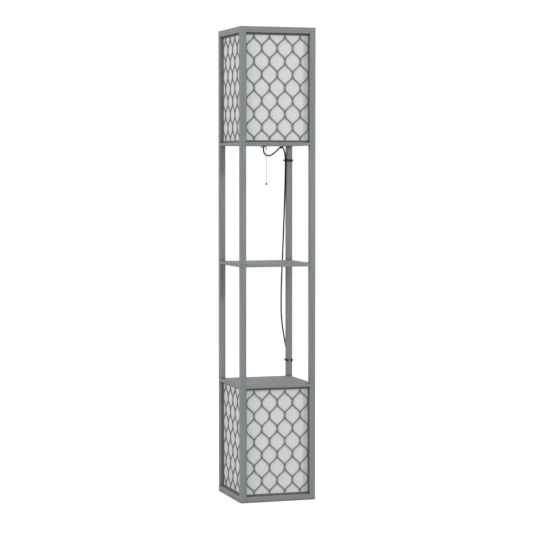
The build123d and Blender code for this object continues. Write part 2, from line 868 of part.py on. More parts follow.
# ---- the strap that holds the coil ----
tie_turn = radians(tie_bearing)
tie_half = tie_width / 2
turn_inner = coil_inner - cord_radius
turn_outer = coil_outer + cord_radius
tie_from = sqrt(turn_inner**2 - tie_half**2) - tie_gap - coil_gap
tie_to = turn_outer + tie_gap + coil_gap
tie_low = coil_level - cord_radius - tie_gap / 2
tie_high = coil_level + coil_pitch + cord_radius + tie_gap
tie_plane = Plane(
    origin=(*coil_centre, 0),
    x_dir=(cos(tie_turn), sin(tie_turn), 0),
    z_dir=(sin(tie_turn), -cos(tie_turn), 0),
)
with BuildPart() as cord_tie:
    with BuildSketch(tie_plane):
        with Locations(((tie_from + tie_to) / 2, (tie_low + tie_high) / 2)):
            Rectangle(tie_to - tie_from + 2 * tie_thickness, tie_high - tie_low + 2 * tie_thickness)
            Rectangle(tie_to - tie_from, tie_high - tie_low, mode=Mode.SUBTRACT)
    extrude(amount=tie_half, both=True)
finish(cord_tie, "cord_tie")

# ---- plug ----
plug_start = Vector(coil_end)
plug_way = Vector(way)
plug_plane = Plane(origin=plug_start, x_dir=(0, 1, 0), z_dir=plug_way)
body_plane = Plane(origin=plug_start + plug_way * relief_length, x_dir=(0, 1, 0), z_dir=plug_way)
blade_plane = Plane(
    origin=plug_start + plug_way * (relief_length + plug_length),
    x_dir=(0, 1, 0),
    z_dir=plug_way,
)
with BuildPart() as plug:
    with BuildSketch(plug_plane):
        Circle(relief_tip_radius)
    with BuildSketch(body_plane):
        Circle(relief_radius)
    loft()
    with BuildSketch(body_plane):
        RectangleRounded(plug_width, plug_depth, plug_round)
    extrude(amount=plug_length)
    with BuildSketch(blade_plane):
        with GridLocations(blade_spacing, 0, 2, 1):
            Rectangle(blade_thickness, blade_width)
    extrude(amount=blade_length)
finish(plug, "plug")
print("plug reaches down to", round(plug.part.bounding_box().min.Z, 3))
print("total height", total_height, "chain axis", round(chain_x, 3), round(chain_y, 3))
print("bell foot", bell_foot, "chain top", chain_top, "knob foot", knob_foot)
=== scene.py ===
import math

import bmesh
import bpy
from mathutils import Matrix, Vector


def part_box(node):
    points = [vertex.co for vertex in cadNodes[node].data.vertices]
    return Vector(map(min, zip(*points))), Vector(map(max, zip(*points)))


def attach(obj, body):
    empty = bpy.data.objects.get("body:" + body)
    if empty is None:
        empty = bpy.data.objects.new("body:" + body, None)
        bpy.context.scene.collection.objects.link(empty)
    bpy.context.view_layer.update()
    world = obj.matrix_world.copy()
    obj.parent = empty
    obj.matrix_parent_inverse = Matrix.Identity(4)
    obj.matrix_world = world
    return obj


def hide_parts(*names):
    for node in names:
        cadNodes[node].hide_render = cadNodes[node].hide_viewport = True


# Shelf floor lamp: two lantern boxes with ogee lattices, two open tiers, a pull chain and a cord.
# Metres, +Z up, the front faces -Y, as in the frame.

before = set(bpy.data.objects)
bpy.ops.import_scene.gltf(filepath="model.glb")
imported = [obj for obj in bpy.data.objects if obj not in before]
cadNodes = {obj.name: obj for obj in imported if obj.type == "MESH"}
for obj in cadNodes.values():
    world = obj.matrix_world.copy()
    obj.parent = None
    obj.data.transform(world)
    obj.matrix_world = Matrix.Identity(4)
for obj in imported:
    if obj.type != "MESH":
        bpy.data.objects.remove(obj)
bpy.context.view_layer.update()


def linear(red, green, blue):
    # the scene's colour for a picture's levels, from 0 to 255
    color = []
    for level in (red, green, blue):
        share = level / 255
        color.append(share / 12.92 if share <= 0.04045 else ((share + 0.055) / 1.055) ** 2.4)
    return color + [1]


def newPiece(name, data):
    piece = bpy.data.objects.new(name, data)
    bpy.context.scene.collection.objects.link(piece)
    return piece


def smoothMesh(mesh, sharpAngle=35):
    mesh.polygons.foreach_set("use_smooth", [True] * len(mesh.polygons))
    mesh.set_sharp_from_angle(angle=math.radians(sharpAngle))


def evaluatedMesh(piece):
    # the piece's shape with its modifiers or its curve's thickness, as a plain mesh
    bpy.context.view_layer.update()
    evaluated = piece.evaluated_get(bpy.context.evaluated_depsgraph_get())
    return bpy.data.meshes.new_from_object(evaluated)


def loftPiece(name, rings):
    # joins rings of equally many points that turn the same way round the path, and caps both ends
    mesh = bpy.data.meshes.new(name)
    shell = bmesh.new()
    rows = [[shell.verts.new(point) for point in ring] for ring in rings]
    for row, nextRow in zip(rows, rows[1:]):
        for index in range(len(row)):
            other = (index + 1) % len(row)
            shell.faces.new((row[index], row[other], nextRow[other], nextRow[index]))
    shell.faces.new(list(reversed(rows[0])))
    shell.faces.new(rows[-1])
    bmesh.ops.recalc_face_normals(shell, faces=shell.faces)
    shell.to_mesh(mesh)
    shell.free()
    smoothMesh(mesh)
    return newPiece(name, mesh)


def turnsOf(steps):
    return [2 * math.pi * step / steps for step in range(steps)]


def roundRing(centre, radius, height, steps):
    ring = []
    for turn in turnsOf(steps):
        offset = Vector((radius * math.cos(turn), radius * math.sin(turn), height))
        ring.append(centre + offset)
    return ring


def lathePiece(name, profile, centre, steps):
    # profile is radius and height from the centre; it starts and ends on a flat
    rings = [roundRing(centre, radius, height, steps) for radius, height in profile]
    return loftPiece(name, rings)


def arcPoints(centre, radius, fromAngle, toAngle, count):
    points = []
    for index in range(count + 1):
        turn = math.radians(fromAngle + (toAngle - fromAngle) * index / count)
        x = centre[0] + radius * math.cos(turn)
        y = centre[1] + radius * math.sin(turn)
        points.append((x, y))
    return points


def addOutline(curve, points):
    # a closed outline of straight pieces, flat in the curve's own XY plane
    spline = curve.splines.new("POLY")
    spline.points.add(len(points) - 1)
    for target, (x, y) in zip(spline.points, points):
        target.co = (x, y, 0, 1)
    spline.use_cyclic_u = True


def middleAt(low, high, height):
    return Vector(((low.x + high.x) / 2, (low.y + high.y) / 2, height))


def setInputs(tree, target, inputs):
    # links the inputs that are given a socket, and sets the others
    for key, value in inputs.items():
        if isinstance(value, bpy.types.NodeSocket):
            tree.links.new(value, target.inputs[key])
        else:
            target.inputs[key].default_value = value


def node(tree, kind, inputs=None, **settings):
    made = tree.nodes.new(kind)
    for key, value in settings.items():
        setattr(made, key, value)
    setInputs(tree, made, inputs or {})
    return made


def result(tree, kind, inputs=None, **settings):
    # the first output of a new node
    return node(tree, kind, inputs, **settings).outputs[0]


def numberMath(tree, operation, first, second):
    return result(tree, "ShaderNodeMath", {0: first, 1: second}, operation=operation)


def vectorMath(tree, operation, first, second):
    return result(tree, "ShaderNodeVectorMath", {0: first, 1: second}, operation=operation)


def spread(tree, value, fromRange, toRange):
    inputs = {
        "Value": value,
        "From Min": fromRange[0],
        "From Max": fromRange[1],
        "To Min": toRange[0],
        "To Max": toRange[1],
    }
    return result(tree, "ShaderNodeMapRange", inputs)


def noisePattern(tree, scale, stretch=(1, 1, 1), detail=2, roughness=0.5):
    # a noise on the piece's own coordinates, stretched along an axis by a small number there
    coordinates = node(tree, "ShaderNodeTexCoord").outputs["Object"]
    vector = result(tree, "ShaderNodeMapping", {"Vector": coordinates, "Scale": stretch})
    inputs = {"Vector": vector, "Scale": scale, "Detail": detail, "Roughness": roughness}
    return node(tree, "ShaderNodeTexNoise", inputs).outputs["Fac"]


def blendColors(tree, share, first, second):
    mix = node(tree, "ShaderNodeMix", {"Factor": share}, data_type="RGBA")
    sockets = [index for index, item in enumerate(mix.inputs) if item.type == "RGBA"]
    setInputs(tree, mix, dict(zip(sockets, (first, second))))
    return [item for item in mix.outputs if item.type == "RGBA"][0]


def bumpedNormal(tree, height, strength, distance):
    inputs = {"Height": height, "Strength": strength, "Distance": distance}
    return result(tree, "ShaderNodeBump", inputs)


def startMaterial(name, color, roughness, metallic=0.0, specular=0.5):
    material = bpy.data.materials.new(name)
    material.use_nodes = True
    tree = material.node_tree
    shader = tree.nodes["Principled BSDF"]
    inputs = {
        "Base Color": color,
        "Roughness": roughness,
        "Metallic": metallic,
        "Specular IOR Level": specular,
    }
    setInputs(tree, shader, inputs)
    return material, tree, shader


# materials; a range is the part of a noise that a share or a roughness follows

paint = {
    # paintedShade is how far the painted shade darkens inner corners
    "frame": {"color": linear(138, 144, 143), "streak": linear(120, 126, 125), "paintedShade": 0.65},
    # the strands' paint is darker than the frame's: painted shade on the thin strands
    "strand": {"color": linear(112, 117, 116), "streak": linear(101, 106, 105), "paintedShade": 0.3},
    # the colour of the painted shade in inner corners
    "paintedShadeColor": linear(66, 69, 69),
    "paintedShadeReach": 0.012,  # metres from an inner corner over which the painted shade darkens the paint
    "paintedShadeRange": (0.35, 0.95),
    "paintedShadeSamples": 8,
    "grainScale": 330.0,  # streaks a metre across the grain
    "grainRun": 0.035,  # how slowly a streak changes along the grain
    "grainRange": (0.42, 0.72),
    "grainShare": 0.75,
    "broadScale": 75.0,  # broad streaks a metre
    "broadRange": (0.45, 0.62),
    "broadShare": 0.5,
    "cloudScale": 9.0,
    "cloudRange": (0.3, 0.7),
    "cloudShare": 0.18,
    "poreScale": 1500.0,
    "poreRun": 0.08,
    "poreRange": (0.3, 0.7),
    "poreDepth": 0.25,  # beside the grain's 1
    "roughness": 0.6,
    "roughnessFrom": (0.3, 0.7),
    "roughnessTo": (0.54, 0.68),
    "specular": 0.22,
    "bump": 0.35,
    "bumpRange": (0.35, 0.7),
    "bumpDepth": 0.0003,
}


def paintedWood(name, grainAxis, coat):
    # grey paint over a wood grain that runs along one axis, with painted shade in inner corners
    material, tree, shader = startMaterial(
        name, coat["color"], paint["roughness"], specular=paint["specular"]
    )
    run = [1.0, 1.0, 1.0]
    run["XYZ".index(grainAxis)] = paint["grainRun"]
    poreStretch = [max(share, paint["poreRun"]) for share in run]
    grain = noisePattern(tree, paint["grainScale"], run, detail=4, roughness=0.6)
    pores = noisePattern(tree, paint["poreScale"], poreStretch)
    patterns = {
        "grain": grain,
        "broad": noisePattern(tree, paint["broadScale"], run, detail=3, roughness=0.55),
        "cloud": noisePattern(tree, paint["cloudScale"]),
    }
    color = coat["color"]
    for layer, pattern in patterns.items():
        share = spread(tree, pattern, paint[f"{layer}Range"], (0, paint[f"{layer}Share"]))
        color = blendColors(tree, share, color, coat["streak"])
    # painted shade: the paint darkens in inner corners and beside joints, where shade falls
    occlusion = node(
        tree,
        "ShaderNodeAmbientOcclusion",
        {"Distance": paint["paintedShadeReach"]},
        samples=paint["paintedShadeSamples"],
    )
    paintedShade = spread(tree, occlusion.outputs["AO"], paint["paintedShadeRange"], (coat["paintedShade"], 0))
    grooves = spread(tree, grain, paint["bumpRange"], (1, 0))
    pits = spread(tree, pores, paint["poreRange"], (paint["poreDepth"], 0))
    heights = numberMath(tree, "ADD", grooves, pits)
    inputs = {
        "Base Color": blendColors(tree, paintedShade, color, paint["paintedShadeColor"]),
        "Roughness": spread(tree, grain, paint["roughnessFrom"], paint["roughnessTo"]),
        "Normal": bumpedNormal(tree, heights, paint["bump"], paint["bumpDepth"]),
    }
    setInputs(tree, shader, inputs)
    return material


liner = {
    "color": linear(223, 223, 222),
    "thread": linear(207, 207, 206),
    "threadScale": 900.0,
    "threadRun": 0.05,
    "threadRange": (0.8, 1.2),
    "threadShare": 0.8,
    "slubScale": 160.0,
    "slubStretch": (0.25, 0.25, 1),
    "slubRange": (0.55, 0.75),
    "slubShare": 0.35,
    "roughness": 0.85,
    "specular": 0.2,
    "sheen": 1.0,
    "sheenRoughness": 0.4,
    "bump": 0.3,
    "bumpDepth": 0.00015,
}


def linenLiner():
    # a stiff pale sheet with threads both ways, a little thicker here and there
    material, tree, shader = startMaterial(
        "linenLiner", liner["color"], liner["roughness"], specular=liner["specular"]
    )
    run = liner["threadRun"]
    upright = noisePattern(tree, liner["threadScale"], (1, 1, run))
    across = noisePattern(tree, liner["threadScale"], (run, run, 1))
    slubs = noisePattern(tree, liner["slubScale"], liner["slubStretch"], detail=3, roughness=0.7)
    weave = numberMath(tree, "ADD", upright, across)
    threadShare = spread(tree, weave, liner["threadRange"], (0, liner["threadShare"]))
    slubShare = spread(tree, slubs, liner["slubRange"], (0, liner["slubShare"]))
    threads = blendColors(tree, threadShare, liner["color"], liner["thread"])
    inputs = {
        "Sheen Weight": liner["sheen"],
        "Sheen Roughness": liner["sheenRoughness"],
        "Base Color": blendColors(tree, slubShare, threads, liner["thread"]),
        "Normal": bumpedNormal(tree, weave, liner["bump"], liner["bumpDepth"]),
    }
    setInputs(tree, shader, inputs)
    return material


plastic = {
    "specular": 0.25,
    "grainScale": 2500.0,
    "wornScale": 120.0,
    "wornRange": (0.45, 0.75),
    "wornShare": 0.5,
    "wornGain": 1.35,  # what a worn place's colour is multiplied by
    "wornLift": 0.004,  # and what is added to it
    "roughnessFrom": (0.3, 0.7),
    "roughnessShift": (-0.06, 0.08),
    "bump": 0.12,
    "bumpDepth": 0.0001,
}


def mouldedPlastic(name, color, roughness, **changes):
    facts = {**plastic, **changes}
    material, tree, shader = startMaterial(name, color, roughness, specular=facts["specular"])
    grain = noisePattern(tree, facts["grainScale"])
    worn = noisePattern(tree, facts["wornScale"], detail=3)
    paler = [min(1, level * facts["wornGain"] + facts["wornLift"]) for level in color[:3]] + [1]
    share = spread(tree, worn, facts["wornRange"], (0, facts["wornShare"]))
    toRange = [roughness + shift for shift in facts["roughnessShift"]]
    inputs = {
        "Base Color": blendColors(tree, share, color, paler),
        "Roughness": spread(tree, worn, facts["roughnessFrom"], toRange),
        "Normal": bumpedNormal(tree, grain, facts["bump"], facts["bumpDepth"]),
    }
    setInputs(tree, shader, inputs)
    return material


plating = {
    "brushScale": 1800.0,
    "brushStretch": (1, 1, 0.05),
    "tarnishScale": 90.0,
    "tarnishRange": (0.45, 0.75),
    "tarnishShare": 0.6,
    "tarnishGain": 0.82,  # what a tarnished place's colour is multiplied by
    "roughnessFrom": (0.3, 0.7),
    "roughnessShift": (-0.08, 0.1),
    "bump": 0.08,
    "bumpDepth": 0.00005,
}


def platedMetal(name, color, roughness):
    material, tree, shader = startMaterial(name, color, roughness, metallic=1.0)
    brushed = noisePattern(tree, plating["brushScale"], plating["brushStretch"])
    tarnish = noisePattern(tree, plating["tarnishScale"], detail=3)
    darker = [level * plating["tarnishGain"] for level in color[:3]] + [1]
    share = spread(tree, tarnish, plating["tarnishRange"], (0, plating["tarnishShare"]))
    toRange = [roughness + shift for shift in plating["roughnessShift"]]
    inputs = {
        "Base Color": blendColors(tree, share, color, darker),
        "Roughness": spread(tree, brushed, plating["roughnessFrom"], toRange),
        "Normal": bumpedNormal(tree, brushed, plating["bump"], plating["bumpDepth"]),
    }
    setInputs(tree, shader, inputs)
    return material


opal = {
    "color": linear(236, 236, 231),
    "clear": linear(238, 238, 234),
    "cloudy": linear(226, 225, 219),
    "roughness": 0.28,
    "cloudScale": 45.0,
    "cloudRange": (0.35, 0.7),
    "cloudShare": 0.5,
    "coat": 0.4,
    "coatRoughness": 0.08,
    "bump": 0.03,
    "bumpDepth": 0.0002,
}


def frostedGlass():
    # an opal bulb, a little cloudier here and there
    material, tree, shader = startMaterial("frostedGlass", opal["color"], opal["roughness"])
    cloud = noisePattern(tree, opal["cloudScale"])
    share = spread(tree, cloud, opal["cloudRange"], (0, opal["cloudShare"]))
    inputs = {
        "Base Color": blendColors(tree, share, opal["clear"], opal["cloudy"]),
        "Coat Weight": opal["coat"],
        "Coat Roughness": opal["coatRoughness"],
        "Normal": bumpedNormal(tree, cloud, opal["bump"], opal["bumpDepth"]),
    }
    setInputs(tree, shader, inputs)
    return material


finishes = {
    "paintUpright": paintedWood("paintUpright", "Z", paint["frame"]),
    "paintAcross": paintedWood("paintAcross", "X", paint["frame"]),
    "paintDeep": paintedWood("paintDeep", "Y", paint["frame"]),
    # the frame's paint made darker for the strands, as painted shade
    "paintStrandShaded": paintedWood("paintStrandShaded", "Z", paint["strand"]),
    "linenLiner": linenLiner(),
    "blackPlastic": mouldedPlastic("blackPlastic", linear(14, 14, 15), 0.5),
    "cordJacket": mouldedPlastic(
        "cordJacket", linear(5, 5, 6), 0.6, grainScale=1400.0, specular=0.12
    ),
    "holderPlastic": mouldedPlastic("holderPlastic", linear(30, 29, 28), 0.38),
    "knobPlastic": mouldedPlastic("knobPlastic", linear(70, 71, 72), 0.25, bump=0.04),
    "bracketPaint": mouldedPlastic("bracketPaint", linear(24, 24, 25), 0.45, grainScale=1800.0),
    "zincSteel": platedMetal("zincSteel", linear(180, 182, 184), 0.35),
    "yellowBrass": platedMetal("yellowBrass", linear(196, 168, 104), 0.3),
    "nickel": platedMetal("nickel", linear(176, 175, 171), 0.28),
    "frostedGlass": frostedGlass(),
}


def finishPiece(piece, finish, body="frame"):
    piece.data.materials.clear()
    piece.data.materials.append(finishes[finish])
    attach(piece, body)


print("materials ready")

view = {
    "place": (-1.9291, -5.9973, 1.1030),
    "turn": 17.836,  # degrees to the right of straight along +Y
    "tilt": 2.496,  # degrees down
    "focal": 1866.4 / 533,  # focal length as a share of the picture's width
    "shift": -15 / 533,
    "sensor": 36,  # millimetres
    "clipEnd": 50,
}


def placeCamera():
    camera = newPiece("viewCamera", bpy.data.cameras.new("viewCamera"))
    camera.location = view["place"]
    camera.rotation_euler = (math.radians(90 - view["tilt"]), 0, -math.radians(view["turn"]))
    camera.data.sensor_width = view["sensor"]
    camera.data.lens = view["sensor"] * view["focal"]
    camera.data.shift_y = view["shift"]
    camera.data.clip_end = view["clipEnd"]
    bpy.context.scene.camera = camera


placeCamera()
print("camera placed")

cordFacts = {
    "diameter": 0.005,
    "length": 2.284,
    "coilCentre": (0.0628, 0.1880),
    "coilMeanRadius": 0.0275,
    "coilGap": 0.0006,
    "coilTurns": 5.25,
    "coilLevel": 0.0040,
    "pointsPerTurn": 16,
    "curveSteps": 7,  # rings between two control points
    "sectionSteps": 4,
}
# from the bush under the upper board, along the back right post, to where the coil starts
cordRoute = [
    (-0.0100, 0.0000, 1.1798),
    (-0.0100, 0.0000, 1.1660),
    (-0.0051, 0.0050, 1.1585),
    (0.0054, 0.0157, 1.1522),
    (0.0208, 0.0315, 1.1515),
    (0.0361, 0.0472, 1.1558),
    (0.0599, 0.0715, 1.1680),
    (0.0788, 0.0908, 1.1820),
    (0.0949, 0.1073, 1.1816),
    (0.1035, 0.1155, 1.1650),
    (0.1079, 0.1203, 1.1430),
    (0.1081, 0.1212, 1.1020),
    (0.1074, 0.1239, 1.0400),
    (0.1063, 0.1268, 0.9740),
    (0.1049, 0.1303, 0.9060),
    (0.1037, 0.1343, 0.8450),
    (0.1026, 0.1385, 0.7870),
    (0.1002, 0.1399, 0.7220),
    (0.0984, 0.1391, 0.6620),
    (0.0984, 0.1380, 0.6070),
    (0.1025, 0.1370, 0.5600),
    (0.1102, 0.1358, 0.5150),
    (0.1173, 0.1343, 0.4750),
    (0.1202, 0.1334, 0.4320),
    (0.1199, 0.1338, 0.3750),
    (0.1179, 0.1349, 0.3150),
    (0.1147, 0.1366, 0.2500),
    (0.1109, 0.1387, 0.1850),
    (0.1070, 0.1412, 0.1250),
    (0.1034, 0.1445, 0.0720),
    (0.1006, 0.1495, 0.0350),
    (0.0986, 0.1585, 0.0130),
    (0.0973, 0.1720, 0.0040),
    (0.0973, 0.1830, 0.0040),
]


def coilPoint(angle, swell=1.0):
    # the lower layer winds in, one half turn climbs, and the upper layer winds out
    pitch = cordFacts["diameter"] + cordFacts["coilGap"]
    reverse = math.pi * cordFacts["coilTurns"]
    climb = math.pi / 2
    drawIn = pitch * (reverse - climb / 2) / (2 * math.pi)
    inner = cordFacts["coilMeanRadius"] - drawIn / 2
    away = abs(angle - reverse)
    if away < climb:
        away = away**2 / (2 * climb) + climb / 2
    radius = (inner + pitch * (away - climb / 2) / (2 * math.pi)) * swell
    share = min(max((angle - reverse + climb) / (2 * climb), 0), 1)
    lift = pitch * share**2 * (3 - 2 * share)
    centreX, centreY = cordFacts["coilCentre"]
    x = centreX + radius * math.cos(angle)
    y = centreY + radius * math.sin(angle)
    return Vector((x, y, cordFacts["coilLevel"] + lift))


def cordPoints():
    points = [Vector(point) for point in cordRoute]
    step = 2 * math.pi / cordFacts["pointsPerTurn"]
    swell = 1 / math.cos(step / 2)  # a control polygon stands outside the turns it makes
    count = round(cordFacts["pointsPerTurn"] * cordFacts["coilTurns"])
    for index in range(count):
        points.append(coilPoint((index + 0.5) * step, swell))
    points.append(coilPoint(count * step) + Vector((-cordFacts["diameter"], 0, 0)))
    return points


def makeCord():
    curve = bpy.data.curves.new("cord", "CURVE")
    curve.dimensions = "3D"
    curve.bevel_depth = cordFacts["diameter"] / 2
    curve.bevel_resolution = cordFacts["sectionSteps"]
    curve.resolution_u = cordFacts["curveSteps"]
    curve.use_fill_caps = True
    spline = curve.splines.new("NURBS")
    points = cordPoints()
    spline.points.add(len(points) - 1)
    for target, point in zip(spline.points, points):
        target.co = (*point, 1)
    spline.order_u = 3
    spline.use_endpoint_u = True
    return newPiece("cord", curve), points[-1]


cord, cordEnd = makeCord()
print("cord routed")


def startTree(name, kinds):
    # a geometry tree and its inputs, which are of the given kinds, with a finish as the last
    tree = bpy.data.node_groups.new(name, "GeometryNodeTree")
    tree.interface.new_socket("Geometry", in_out="OUTPUT", socket_type="NodeSocketGeometry")
    for inputName, kind in {**kinds, "Finish": "Material"}.items():
        tree.interface.new_socket(inputName, in_out="INPUT", socket_type=f"NodeSocket{kind}")
    return tree, node(tree, "NodeGroupInput").outputs


def joinParts(tree, parts):
    joined = node(tree, "GeometryNodeJoinGeometry")
    for part in parts:
        tree.links.new(part, joined.inputs["Geometry"])
    return joined.outputs["Geometry"]


def placeCopies(tree, points, instance, **turnAndScale):
    inputs = {"Points": points, "Instance": instance, **turnAndScale}
    return result(tree, "GeometryNodeInstanceOnPoints", inputs)


def rowOfPoints(tree, start, step, count):
    # the middles of steps that follow each other from the start
    half = vectorMath(tree, "MULTIPLY", step, (0.5, 0.5, 0.5))
    first = vectorMath(tree, "ADD", start, half)
    inputs = {"Count": count, "Start Location": first, "Offset": step}
    return result(tree, "GeometryNodeMeshLine", inputs)


def roundRod(tree, start, reach, radius, sides):
    end = vectorMath(tree, "ADD", start, reach)
    path = result(tree, "GeometryNodeCurvePrimitiveLine", {"Start": start, "End": end})
    inputs = {"Resolution": sides, "Radius": radius}
    section = result(tree, "GeometryNodeCurvePrimitiveCircle", inputs)
    inputs = {"Curve": path, "Profile Curve": section, "Fill Caps": True}
    return result(tree, "GeometryNodeCurveToMesh", inputs)


def endTree(tree, given, geometry):
    # hands out the geometry as real meshes in the tree's finish
    solid = result(tree, "GeometryNodeRealizeInstances", {"Geometry": geometry})
    inputs = {"Geometry": solid, "Material": given["Finish"]}
    node(tree, "NodeGroupOutput", {"Geometry": result(tree, "GeometryNodeSetMaterial", inputs)})
    return tree


def growPiece(name, tree, values, finish):
    # runs a tree on an empty piece and keeps the result as a plain mesh
    piece = newPiece(name, bpy.data.meshes.new(name))
    modifier = piece.modifiers.new(name, "NODES")
    modifier.node_group = tree
    values = {**values, "Finish": finishes[finish]}
    for item in tree.interface.items_tree:
        if item.item_type == "SOCKET" and item.in_out == "INPUT":
            modifier[item.identifier] = values[item.name]
    mesh = evaluatedMesh(piece)
    piece.modifiers.remove(modifier)
    piece.data = mesh
    return piece


def roundEdges(piece, width, segments=2, angle=40):
    # bevels the hard edges for good
    bevel = piece.modifiers.new("roundEdges", "BEVEL")
    bevel.width = width
    bevel.segments = segments
    bevel.limit_method = "ANGLE"
    bevel.angle_limit = math.radians(angle)
    bevel.use_clamp_overlap = True
    mesh = evaluatedMesh(piece)
    piece.modifiers.remove(bevel)
    piece.data = mesh


lattice = {
    "columns": 4,
    "rows": 4,
    "border": 0.0065,
    "strandWidth": 0.0031,
    "bendRadius": 0.0225,
    "bendSteps": 7,
    "slope": 49.5,  # degrees from upright
    "sheetShare": 0.62,  # the strands' thickness as a share of the CAD panel's
    "edgeRound": 0.0004,
    "sharpAngle": 50,
    "weld": 1e-6,
}


def cellOutline(openingWidth, openingHeight):
    # one ogee opening, as a closed outline centred on the origin
    pitchX = openingWidth / lattice["columns"]
    pitchZ = openingHeight / lattice["rows"]
    bend = lattice["bendRadius"]
    slope = math.radians(lattice["slope"])
    straight = (pitchX / 2 - 2 * bend * (1 - math.cos(slope))) / math.sin(slope)
    dwell = (pitchZ / 2 - 2 * bend * math.sin(slope) - straight * math.cos(slope)) / 2
    outer = bend + lattice["strandWidth"] / 2
    inner = bend - lattice["strandWidth"] / 2
    tip = math.degrees(math.acos(bend / outer))
    lowCentre = (bend, dwell - pitchZ / 2)
    highCentre = (pitchX / 2 - bend, -dwell)
    steps = lattice["bendSteps"]
    quarter = arcPoints(lowCentre, outer, 180 - tip, 180 - lattice["slope"], steps)
    quarter += arcPoints(highCentre, inner, -lattice["slope"], 0, steps)
    upper = [(x, -y) for x, y in reversed(quarter)]
    left = [(-x, -y) for x, y in (quarter + upper)[1:-1]]
    return quarter + upper + left


def latticeTree():
    # a sheet with an opening at every place of two staggered grids, cut off at the border
    kinds = {
        "Cell Outline": "Object",
        "Columns": "Int",
        "Rows": "Int",
        "Panel Size": "Vector",
        "Opening Size": "Vector",
        "Thickness": "Float",
    }
    tree, given = startTree("ogeeLattice", kinds)
    cell = node(tree, "GeometryNodeObjectInfo", {"Object": given["Cell Outline"]})
    opening = node(tree, "ShaderNodeSeparateXYZ", {"Vector": given["Opening Size"]}).outputs
    panel = node(tree, "ShaderNodeSeparateXYZ", {"Vector": given["Panel Size"]}).outputs
    openings = []
    for extra in (0, 1):
        # the first grid has a cell in each place, the second stands half a cell off and overruns
        grid = {}
        for total, axis in (("Columns", "X"), ("Rows", "Y")):
            pitch = numberMath(tree, "DIVIDE", opening[axis], given[total])
            steps = numberMath(tree, "SUBTRACT", given[total], 1 - extra)
            grid[f"Size {axis}"] = numberMath(tree, "MULTIPLY", pitch, steps)
            grid[f"Vertices {axis}"] = numberMath(tree, "ADD", given[total], extra)
        places = result(tree, "GeometryNodeMeshGrid", grid)
        openings.append(placeCopies(tree, places, cell.outputs["Geometry"]))
    loose = result(tree, "GeometryNodeRealizeInstances", {"Geometry": joinParts(tree, openings)})
    corner = vectorMath(tree, "MULTIPLY", given["Opening Size"], (0.5, 0.5, 0))
    opposite = vectorMath(tree, "MULTIPLY", corner, (-1, -1, 0))
    place = result(tree, "GeometryNodeInputPosition")
    within = vectorMath(tree, "MAXIMUM", vectorMath(tree, "MINIMUM", place, corner), opposite)
    cut = result(tree, "GeometryNodeSetPosition", {"Geometry": loose, "Position": within})
    inputs = {"Width": panel["X"], "Height": panel["Y"]}
    border = result(tree, "GeometryNodeCurvePrimitiveQuadrilateral", inputs)
    outlines = joinParts(tree, [border, cut])
    face = result(tree, "GeometryNodeFillCurve", {"Curve": outlines}, mode="NGONS")
    inputs = {"Mesh": face, "Offset Scale": given["Thickness"], "Individual": False}
    back = result(tree, "GeometryNodeExtrudeMesh", inputs)
    front = result(tree, "GeometryNodeFlipFaces", {"Mesh": face})
    inputs = {"Geometry": joinParts(tree, [back, front]), "Distance": lattice["weld"]}
    return endTree(tree, given, result(tree, "GeometryNodeMergeByDistance", inputs))


def makeLattices():
    sides = {"front": (0, -1), "right": (1, 0), "back": (0, 1), "left": (-1, 0)}
    low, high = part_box("upper_lattice_front")
    depth = high.y - low.y
    thickness = lattice["sheetShare"] * depth
    openingWidth = high.x - low.x - 2 * lattice["border"]
    openingHeight = high.z - low.z - 2 * lattice["border"]
    curve = bpy.data.curves.new("cellOutline", "CURVE")
    curve.dimensions = "3D"
    addOutline(curve, cellOutline(openingWidth, openingHeight))
    outline = newPiece("cellOutline", curve)
    values = {
        "Cell Outline": outline,
        "Columns": lattice["columns"],
        "Rows": lattice["rows"],
        "Panel Size": (high.x - low.x, high.z - low.z, 0),
        "Opening Size": (openingWidth, openingHeight, 0),
        "Thickness": thickness,
    }
    pattern = growPiece("latticePattern", latticeTree(), values, "paintStrandShaded")
    # the tree grows the sheet forwards, so it is moved back by its thickness
    pattern.data.transform(Matrix.Translation((0, 0, -thickness)))
    roundEdges(pattern, lattice["edgeRound"])
    bpy.data.objects.remove(outline)
    for boxName in ("upper", "lower"):
        for sideName, (outX, outY) in sides.items():
            cadName = f"{boxName}_lattice_{sideName}"
            low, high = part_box(cadName)
            face = (low + high) / 2 + Vector((outX, outY, 0)) * depth / 2
            # the pattern's X runs along the side, its Y up and its Z outwards
            stand = Matrix(((-outY, 0, outX, 0), (outX, 0, outY, 0), (0, 1, 0, 0), (0, 0, 0, 1)))
            mesh = pattern.data.copy()
            mesh.transform(Matrix.Translation(face) @ stand)
            smoothMesh(mesh, lattice["sharpAngle"])
            panel = newPiece(f"{boxName}Lattice{sideName.capitalize()}", mesh)
            finishPiece(panel, "paintStrandShaded")
            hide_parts(cadName)
    bpy.data.objects.remove(pattern)


makeLattices()
print("lattice panels made")

# the CAD pieces that stay, by the finish they get
cadFinishes = {
    "paintUpright": [name for name in cadNodes if "_post_" in name],
    "paintAcross": [
        "upper_board",
        "middle_shelf",
        "lower_board",
        "base_board",
        "top_rail_front",
        "top_rail_back",
        "bottom_rail_front",
        "bottom_rail_back",
    ],
    "paintDeep": ["top_rail_left", "top_rail_right", "bottom_rail_left", "bottom_rail_right"],
    "linenLiner": ["panel_liners"],
    "zincSteel": ["joining_studs", "nipples", "nipple_nuts"],
    "yellowBrass": ["threaded_inserts", "screw_shells", "centre_contacts"],
    "blackPlastic": ["cord_bushes", "post_clips", "board_cord_clip", "cord_tie"],
    "holderPlastic": ["pull_switch", "upper_lamp_holder", "lower_lamp_holder"],
    "nickel": ["pull_link"],
    "bracketPaint": ["cord_bracket"],
}
for finish, names in cadFinishes.items():
    for name in names:
        cadNodes[name].data.materials.clear()
        cadNodes[name].data.materials.append(finishes[finish])
print("frame finished")

